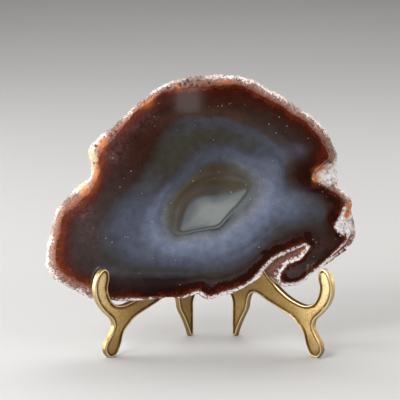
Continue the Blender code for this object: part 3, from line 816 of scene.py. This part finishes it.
def skin_relief(places, edge):
    """How far the crystals and the fold lie behind the polish."""
    relief = np.zeros(len(places))
    for index in np.nonzero(edge < ROUGH_EDGE)[0]:
        across, up = places[index]
        rough = min(1.0, (ROUGH_EDGE - edge[index]) / ROUGH_WIDTH)
        spikes = 1.0 - abs(noise.noise(Vector((across, up, 7.0)) / SPIKE_SIZE))
        coarse = noise.noise(Vector((across, up, 3.0)) / COARSE_SIZE)
        relief[index] = rough * (0.25 + 0.35 * spikes ** 4 + 0.2 * coarse)
    groove = np.clip(1.15 - core_distance(places, FOLD_CORE), 0.0, 1.0)
    return np.maximum(relief, 0.0) + FOLD_DEPTH * 0.8 * np.sqrt(groove)


def slab_to_world(local):
    """Places on the slab, leant back and turned as it stands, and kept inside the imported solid's box."""
    hinge = frame["joints"][0]["pos_m"]
    matrix = np.array(Matrix.Translation((hinge[0], hinge[1] + SLAB_FRONT_Y * MM, 0.0))
                      @ Matrix.Rotation(math.radians(SLAB_YAW), 4, "Z")
                      @ Matrix.Rotation(math.radians(-SLAB_LEAN), 4, "X"))
    low, high = (np.array(corner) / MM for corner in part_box("agate_slice"))
    return np.clip(local @ matrix[:3, :3].T + matrix[:3, 3] / MM, low, high)


def agate_attributes(places, depth, edge, contours):
    """What the agate's material reads, from places on the face in millimetres."""
    return {
        "place": np.stack([places[:, 0], depth, places[:, 1]], axis=1),
        "level": band_level(places, contours),
        "edge": edge + rust_creep(places),
        "fold": np.minimum(core_distance(places, FOLD_CORE), core_distance(places, RIM_CORE)),
        **{f"band_{angle}": weight for (angle, _), weight in zip(BANDS, direction_weights(places))},
        **{name: spots(places, table) for name, table in SPOTS.items()},
    }


def build_agate(material):
    """The slab: its rind in rings, its front and its back, which shows the same bands a little smaller."""
    contours = [Contour(smooth_loop(points, 6)) for points in
                (FACE_EDGE, STAIN_EDGE, BROWN_EDGE, GLOW_EDGE, DOME_EDGE, EYE_EDGE)]
    face, eye = contours[0], contours[-1]
    outline = even_loop(smooth_loop(SLAB_OUTLINE, 12), EDGE_POINTS)
    normals = outward_normals(outline, int(EDGE_POINTS * NORMAL_REACH / loop_length(outline)))
    skin, skin_edge, pits = rind_surface(outline, normals, face)
    last = len(skin) - EDGE_POINTS
    front, back = skin[:EDGE_POINTS, [0, 2]], skin[last:, [0, 2]]
    front_inner = face_points(front, face, eye)
    back_inner = Contour(back).grid(BACK_GRID, BACK_GRID * 0.5)
    front_start, back_start = len(skin), len(skin) + len(front_inner)

    faces = []
    for ring in range(RIND_RINGS - 1):
        faces += ring_faces(ring * EDGE_POINTS, (ring + 1) * EDGE_POINTS, EDGE_POINTS)
    filled = fill_loop(front, front_inner)
    faces += np.where(filled < EDGE_POINTS, filled, filled + last).tolist()
    filled = fill_loop(back, back_inner)[:, ::-1]
    faces += np.where(filled < EDGE_POINTS, filled + last, filled + back_start - EDGE_POINTS).tolist()

    raw = np.vstack([skin[:, [0, 2]], front_inner, back_inner])
    depth = np.concatenate([skin[:, 1], np.zeros(len(front_inner)), np.full(len(back_inner), SLAB_THICKNESS)])
    share = np.clip(depth / SLAB_THICKNESS, 0.0, 1.0)[:, None]
    places = raw + (raw - BACK_ANCHOR) * (np.array(BACK_SHRINK) - 1.0) * share
    edge = np.concatenate([skin_edge[:last], face.depth(places[last:])])
    attributes = agate_attributes(places, depth, edge, contours)
    attributes["rind"] = padded(len(places), 0, np.clip(skin[:, 1] / SLAB_THICKNESS, 0.02, 1.0))
    attributes["pit"] = padded(len(places), 0, pits)
    near_dust = nearest(tree_of(DUST), front_inner) < DUST_RADIUS * 1.2
    attributes["speck"] = padded(len(places), front_start, near_dust)

    sunk = depth.copy()
    sunk[front_start:back_start] = skin_relief(front_inner, attributes["edge"][front_start:back_start])
    sharp = np.zeros(len(places), bool)
    sharp[:EDGE_POINTS] = True
    sharp[last:front_start] = True
    world = slab_to_world(np.stack([raw[:, 0], sunk, raw[:, 1]], axis=1))
    return mesh_object("agate_polished_slice", world, faces, material, attributes, sharp)


def read_agate(shader):
    """What the agate's mesh says, by name, with the two noises that its colours share.

    Left is how much a place lies to the left of the eye, and warm adds those over the eye.
    """
    names = ("level", "edge", "rind", "fold", "pit", "speck", *SPOTS)
    here = SimpleNamespace(**{name: shader.attribute(name) for name in names})
    here.bands = {angle: shader.attribute(f"band_{angle}") for angle, _ in BANDS}
    here.left = here.bands[137] + here.bands[190]
    here.warm = here.left + here.bands[45] + here.bands[88]
    here.sugar = shader.noise(0.6, 3.0, 0.6)
    here.grain = shader.noise(1.5, 4.0, 0.6)
    return here


def band_colour(shader, here):
    """The bands: one ramp of colours for each direction, blended round the eye."""
    level = here.level
    waver = shader.swing(11.0, 0.14, 3.0) + shader.swing(2.2, 0.06) + shader.swing(0.7, 0.03)
    calm = shader.node("ShaderNodeMapRange", {
        "Value": level, "From Min": 3.6, "From Max": 4.6, "To Min": 1.0, "To Max": 0.15})
    uneven = shader.swing(1.1, 0.9, 4.0) + shader.swing(6.0, 0.5) + (shader.cells(4.6)[0] - 0.4) * 0.6
    shown = (level + waver * calm + uneven * level.fade(0.3, 1.3)) * (1.0 / LEVELS)
    colour = None
    for angle, stops in BANDS:
        share = shader.ramp(shown, stops, LEVELS).scaled(here.bands[angle])
        colour = share if colour is None else shader.node("ShaderNodeVectorMath", {0: colour, 1: share})
    return colour


def clouded(shader, here, colour):
    """The hazes, glows and blots over the bands."""
    colour = colour.toward(MAUVE, here.haze * shader.noise(1.6, 4.0, 0.6).between(0.34, 0.66))
    colour = colour.toward(GLOW, here.glow * 0.45)
    colour = colour.toward(MOSS, here.olive * 0.7)
    colour = colour.toward(VIOLET, here.blue)
    colour = colour.toward(INK, here.tongue)
    colour = colour.toward(GARNET, (here.blob + shader.swing(1.2, 0.5, 3.0)).between(0.36, 0.60))
    uneven = shader.swing(3.5, 0.4) + shader.swing(0.5, 0.4, 3.0)
    even = here.level.between(3.8, 4.6) * -0.75 + 1.0
    return colour.scaled(uneven * even + 1.0)


def rind_colour(shader, here):
    """Chalky rind with earth in its hollows, ochre patches and the iron stain that creeps over it; whiter
    further back on its slope, which is painted highlight.
    """
    grain, sugar, edge = here.grain, here.sugar, here.edge
    # The rind whiter further back on its slope: painted highlight of the light along the slab's outer edge.
    chalk_and_highlight = sugar * 0.55 + grain * 0.45 + here.rind.between(0.18, 0.50) * 0.12
    rind = shader.ramp(chalk_and_highlight, ((0.40, EARTH), (0.47, ROSE), (0.54, ROSE), (0.61, CHALK)))
    rind = rind.toward(OCHRE, shader.noise(5.0, 3.0).between(0.48, 0.68) * 0.6)
    rind = rind.toward(OCHRE, here.ochre * grain.between(0.30, 0.52))
    rind = rind.toward(EARTH, here.ochre * sugar.fade(0.42, 0.54))
    stained = edge.between(-2.4, -0.6) * grain.between(0.40, 0.58)
    seam = edge.between(-1.8, -0.5) * here.warm
    return rind.toward(shader.mix(here.left, EMBER, FLAME), stained.most(seam) * 0.8)


def crystal_colour(shader, here):
    """Sugary crystals, frosted in places, with dark gaps between them, more towards the outer edge: painted
    shade of the rounded edge, with dirt.
    """
    white = here.white
    shade = shader.noise(1.3, 3.0, 0.6).between(0.34, 0.56)
    bright = shader.mix(white.between(0.1, 0.5), CRYSTAL, shader.mix(shade, FROST, ICE))
    bright = bright.toward(shader.mix(shade, HOAR, FROST), here.frost.between(0.3, 0.6))
    # Painted shade of the rounded outer edge, with dirt: the gaps darker towards it.
    rim_shade_and_dirt = here.edge.fade(-2.0, -0.5) * white.fade(0.2, 0.5)
    gappy = here.sugar * 0.4 + here.grain * 0.6 - rim_shade_and_dirt * 0.10 + white * 0.10
    gaps = shader.ramp(gappy, ((0.36, MAROON), (0.42, ROSE), (0.47, CHALK)))
    return gaps.toward(bright, gappy.between(0.43, 0.50))


def skin_colour(shader, here):
    """The rind and crystals, with the fold's reddish core, the stains and the pits."""
    grain, white = here.grain, here.white
    front = shader.math("SUBTRACT", here.rind.fade(0.005, 0.02), here.warm, clamp=True)
    crystal = front.most(white.between(0.25, 0.6))
    skin = rind_colour(shader, here).toward(crystal_colour(shader, here), crystal)
    reddish = shader.mix(here.sugar.between(0.36, 0.62), MAROON, SALMON)
    heart = reddish.toward(FOLD_BROWN, here.fold.fade(0.15, 0.60) * grain.between(0.42, 0.56))
    skin = skin.toward(heart, (here.fold + shader.swing(1.0, 0.5, 3.0)).fade(0.80, 1.05))
    skin = skin.toward(YELLOW, here.yellow * 0.85)
    near = (here.edge.between(-2.6, -0.8) * grain.between(0.3, 0.5)).most(white.between(0.05, 0.2))
    skin = skin.toward(ORANGE, shader.math("MULTIPLY", here.orange, near, clamp=True))
    return skin.toward(PIT_BROWN, here.pit.between(0.25, 0.8))


def agate_material():
    """Chalcedony with its bands, and the rough rind and crystals round it."""
    shader = Shader("agate")
    here = read_agate(shader)
    edge = here.edge
    colour = clouded(shader, here, band_colour(shader, here))
    colour = colour.toward(EMBER, edge.fade(0.0, 1.0) * 0.45)
    colour = colour.toward(ORANGE, here.orange * edge.fade(0.6, 5.0) * 0.8)
    spikes = shader.swing(0.9, 2.6) * here.white.between(0.0, 0.15)
    jagged = edge + shader.swing(1.6, 1.3, 3.0) + shader.swing(0.5, 0.8) + spikes
    blurred = here.warm * 0.40 + 0.10
    bare = jagged.fade(blurred * -1.0, blurred)
    colour = colour.toward(skin_colour(shader, here), bare)
    distance, number = shader.cells(1.9)
    dust = number.between(0.78, 0.80) * distance.fade(0.05, 0.08)
    speck = dust.most(here.speck * 0.8)
    colour = colour.toward(CHALK, speck * 0.75)

    matt = bare.most(speck).most(here.rind.between(0.004, 0.03))
    roughness = matt * 0.62 + shader.swing(6.0, 0.02) + 0.05
    texture = shader.noise(1.1, 4.0, 0.6) + shader.noise(0.35) * 0.6
    bump = shader.bump(texture * matt, 0.6 * MM, 0.9)
    return shader.finish(Base_Color=colour, Roughness=roughness, Normal=bump, IOR=AGATE_IOR)


def brass_material():
    """Cast brass: a satin, finely peened field, a polished bead and dark in the groove, with painted
    highlight on the hooks and the bead, and painted shade and dark reflection inward of the hooks and towards
    the feet.
    """
    shader = Shader("brass")
    bead = shader.attribute("bead")
    across, up = (shader.node("ShaderNodeSeparateXYZ", {0: shader.place}, axis) for axis in (0, 2))
    grain = shader.noise(0.6, 3.0)
    colour = shader.mix(shader.noise(6.0, 3.0).between(0.3, 0.7), BRASS_DEEP, BRASS_WARM)
    # Painted highlight: the hooks paler, as if lit by a bright light beside them.
    colour = colour.toward(BRASS_PALE, across.between(56.0, 68.0) * 0.7)
    colour = colour.toward(BRASS_PALE, grain.between(0.45, 0.7) * 0.5)
    colour = colour.toward(TARNISH, grain.fade(0.3, 0.45) * 0.5)
    # Painted shade and dark reflection: darker everywhere inward of the hooks, under the slab, and towards
    # the feet.
    colour = colour.toward(BRASS_PAINTED_SHADE, across.fade(46.0, 66.0).most(up.fade(4.0, 18.0)) * 0.70)
    # The bead paler: partly its polish, partly painted highlight.
    colour = colour.toward(BRASS_PALE, bead * 0.85)
    colour = colour.toward(TARNISH, shader.attribute("groove") * shader.noise(2.0, 3.0).between(0.1, 0.5))
    satin = shader.swing(1.2, 0.16, 3.0) + 0.40
    roughness = shader.node("ShaderNodeMix", {0: bead, 2: satin, 3: 0.36})
    bump = shader.bump(grain * bead.fade(0.1, 0.6), 0.16 * MM, 0.7)
    return shader.finish(Base_Color=colour, Metallic=1.0, Roughness=roughness, Normal=bump)


def brass_piece(name, turn, places, faces, material, groove, bead):
    """A piece of the easel, from places in a half's own frame, which is turned about the hinge."""
    hinge = np.array(frame["joints"][0]["pos_m"]) / MM
    c, s = math.cos(math.radians(turn)), math.sin(math.radians(turn))
    x, y, z = places.T
    world = np.stack([hinge[0] + c * x - s * y, hinge[1] + s * x + c * y, z], axis=1)
    count = len(places)
    attributes = {"place": places, "groove": np.full(count, groove), "bead": np.full(count, bead)}
    return mesh_object(name, world, faces, material, attributes)


def build_plate(side, material):
    """One half's casting: a flat plate with a bead round its edge on both faces."""
    loop = smooth_loop(HALF_OUTLINE, 8)
    loop[:, 1] = np.maximum(loop[:, 1], 0.0)
    loop = even_loop(loop, int(loop_length(loop) / PLATE_STEP))
    rim = Contour(loop, PLATE_CONTOUR_STEP)
    normals = outward_normals(loop, 1)
    layers = [loop]
    for distance, _ in PLATE_PROFILE[1:PLATE_RINGS + 1]:
        ring = loop - normals * distance
        layers.append(ring[rim.depth(ring) > distance * 0.97])
    layers.append(rim.grid(FIELD_GRID, PLATE_PROFILE[PLATE_RINGS][0] + 0.4))
    points = np.vstack(layers)
    count, total = len(loop), len(points)
    distance = rim.gap(points)
    distance[:count] = 0.0
    peen = np.array([noise.noise(Vector((x, z, 0.0)) / PEEN_SIZE) for x, z in points])
    field = np.clip((distance - FIELD_START) / FIELD_SOFT, 0.0, 1.0)
    height = np.interp(distance, *np.array(PLATE_PROFILE).T) + PEEN_HEIGHT * field * peen

    x, z = np.vstack([points, points, loop]).T
    places = np.stack([x, np.concatenate([-height, height, np.zeros(count)]), z], axis=1)
    filled = fill_loop(loop, points[count:])
    faces = filled.tolist() + (filled[:, ::-1] + total).tolist()
    faces += ring_faces(0, 2 * total, count) + ring_faces(2 * total, total, count)
    gap = np.concatenate([distance, distance, np.zeros(count)])
    groove = np.clip(1.9 - np.abs(gap - GROOVE_AT) / GROOVE_SOFT, 0.0, 1.0)
    groove[gap < PLATE_CONTOUR_STEP] = 0.4
    bead = np.clip(1.6 - np.abs(gap - BEAD_AT) / BEAD_SOFT, 0.0, 1.0)
    return brass_piece(f"easel_{side}_casting", HALF_TURNS[side], places, faces, material, groove, bead)


def ring_places(angles, radius, height):
    """Places round the hinge's axis at one height."""
    return np.stack([radius * np.cos(angles), radius * np.sin(angles), np.full(len(angles), height)], axis=1)


def knuckle_spans():
    """The lowest and highest point of each of the three knuckles."""
    height = (BARREL_HIGH - BARREL_LOW - RUNNING_GAP * 2) / 3
    lows = [BARREL_LOW + index * (height + RUNNING_GAP) for index in range(3)]
    return [(low, low + height) for low in lows]


def knuckle_section():
    """Directions round a barrel and how far it reaches in each, with the web to its plate."""
    corner = math.degrees(math.atan2(LUG_HALF_THICKNESS, LUG_REACH))
    start = math.degrees(math.asin(LUG_HALF_THICKNESS / BARREL_RADIUS))
    angles = np.radians(np.concatenate([
        np.linspace(-start, -corner, 6), np.linspace(-corner, corner, 7)[1:],
        np.linspace(corner, start, 6)[1:], np.linspace(start, 360 - start, TURNED_SIDES)[1:-1]]))
    with np.errstate(divide="ignore"):
        flank = np.abs(LUG_HALF_THICKNESS / np.sin(angles))
    ahead = np.cos(angles)
    web = np.where(ahead > 0, np.minimum(flank, LUG_REACH / np.maximum(ahead, 1e-6)), 0.0)
    return angles, np.maximum(web, BARREL_RADIUS)


def build_knuckles(side, spans, material):
    """Barrels with a bore for the pin, each with the web that joins it to its plate."""
    angles, outer = knuckle_section()
    count = len(angles)
    bevelled = outer - KNUCKLE_CHAMFER
    rings, faces, beads = [], [], []
    for low, high in spans:
        section = ((BORE_RADIUS, low), (bevelled, low), (outer, low + KNUCKLE_CHAMFER),
                   (outer, high - KNUCKLE_CHAMFER), (bevelled, high), (BORE_RADIUS, high))
        base = len(rings) * count
        for number, (radius, height) in enumerate(section):
            rings.append(ring_places(angles, radius, height))
            # Chamfers count as bead: polished, and paler as partly painted highlight.
            beads.append(0.9 if number in (1, 4) else 0.3)
            after = (number + 1) % len(section)
            faces += ring_faces(base + number * count, base + after * count, count)
    item = brass_piece(f"easel_{side}_knuckles", HALF_TURNS[side], np.vstack(rings), faces, material,
                       0.0, np.repeat(beads, count))
    item.data.set_sharp_from_angle(angle=math.radians(KNUCKLE_SHARP))
    return item


def build_pin(material):
    """The hinge's pin, a turned shaft with a rounded head at each end."""
    low, high = BARREL_LOW - RUNNING_GAP, BARREL_HIGH + RUNNING_GAP
    head = [(PIN_HEAD_RADIUS * (0.55 + 0.45 * math.cos(angle)), PIN_HEAD_HEIGHT * math.sin(angle))
            for angle in np.radians(np.linspace(75.0, 0.0, 6))]
    profile = [(radius, high + height) for radius, height in head]
    profile += [(PIN_RADIUS, high), (PIN_RADIUS, low)]
    profile += [(radius, low - height) for radius, height in reversed(head)]
    angles = np.arange(TURNED_SIDES) * 2 * math.pi / TURNED_SIDES
    rings = [ring_places(angles, radius, height) for radius, height in profile]
    places = np.vstack([(0.0, 0.0, high + PIN_HEAD_HEIGHT), *rings, (0.0, 0.0, low - PIN_HEAD_HEIGHT)])
    faces = []
    for start in range(1, 1 + (len(profile) - 1) * TURNED_SIDES, TURNED_SIDES):
        faces += ring_faces(start + TURNED_SIDES, start, TURNED_SIDES)
    tip = len(places) - 1
    for index in range(TURNED_SIDES):
        after = (index + 1) % TURNED_SIDES
        faces.append((0, 1 + index, 1 + after))
        faces.append((tip - TURNED_SIDES + index, tip, tip - TURNED_SIDES + after))
    pin = brass_piece("hinge_pin_turned", 0.0, places, faces, material, 0.0, 0.6)
    pin.data.set_sharp_from_angle(angle=math.radians(PIN_SHARP))
    return pin


def build_floor():
    """A pale floor that curves up far behind the easel."""
    path = [(y, 0.0) for y in (FLOOR_NEAR, -500.0, 0.0, 500.0, FLOOR_FAR - 300.0)]
    for angle in np.radians(np.linspace(0.0, 90.0, 17)):
        path.append((FLOOR_FAR + FLOOR_BEND * math.sin(angle), FLOOR_BEND * (1 - math.cos(angle))))
    path.append((FLOOR_FAR + FLOOR_BEND, FLOOR_TOP))
    verts = [(x, y, z) for y, z in path for x in (-FLOOR_WIDTH, 0.0, FLOOR_WIDTH)]
    faces = []
    for corner in range(0, len(verts) - 3, 3):
        for low in (corner, corner + 1):
            faces.append((low, low + 1, low + 4, low + 3))
    shader = Shader("studio_floor")
    colour = shader.mix(shader.noise(400.0), FLOOR_GREY, FLOOR_PALE)
    material = shader.finish(Base_Color=colour, Roughness=0.65)
    floor = mesh_object("studio_floor", verts, faces, material, {"place": verts})


def add_facing_slab(name, data, azimuth, elevation, distance):
    """A lamp or camera that looks at the slab. Azimuth 0 is in front of it and 90 to the right."""
    turn, rise = math.radians(azimuth), math.radians(elevation)
    away = Vector((math.sin(turn) * math.cos(rise), -math.cos(turn) * math.cos(rise), math.sin(rise)))
    item = bpy.data.objects.new(name, data)
    item.location = (Vector(CAMERA_AIM) + away * distance) * MM
    item.rotation_mode = "QUATERNION"
    item.rotation_quaternion = (-away).to_track_quat("-Z", "Y")
    bpy.context.scene.collection.objects.link(item)
    return item


def add_studio():
    """Soft boxes round the slab, a faint even sky, and plain display of colours."""
    for name, azimuth, elevation, distance, width, height, power, colour in LIGHTS:
        light = bpy.data.lights.new(name, "AREA")
        light.shape = "RECTANGLE"
        light.size = width * MM
        light.size_y = height * MM
        light.energy = power
        light.color = colour
        add_facing_slab(name, light, azimuth, elevation, distance).visible_camera = False
    world = bpy.data.worlds.new("studio")
    world.use_nodes = True
    background = world.node_tree.nodes["Background"]
    background.inputs["Color"].default_value = (*WHITE, 1.0)
    background.inputs["Strength"].default_value = SKY_STRENGTH
    bpy.context.scene.world = world
    bpy.context.scene.view_settings.view_transform = "Standard"


def add_camera():
    data = bpy.data.cameras.new("camera")
    data.lens = CAMERA_LENS
    data.sensor_width = SENSOR_WIDTH
    bpy.context.scene.camera = add_facing_slab("camera", data, 0.0, CAMERA_ELEVATION, CAMERA_DISTANCE)


def main():
    add_camera()
    add_studio()
    build_floor()
    brass = brass_material()
    agate = build_agate(agate_material())
    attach(agate, "left_half")
    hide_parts("agate_slice")
    low, middle, high = knuckle_spans()
    for side, spans in (("left", (low, high)), ("right", (middle,))):
        plate = build_plate(side, brass)
        knuckles = build_knuckles(side, spans, brass)
        for piece in (plate, knuckles):
            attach(piece, f"{side}_half")
        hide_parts(f"stand_{side}")
    pin = build_pin(brass)
    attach(pin, "left_half")
    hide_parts("hinge_pin")


main()
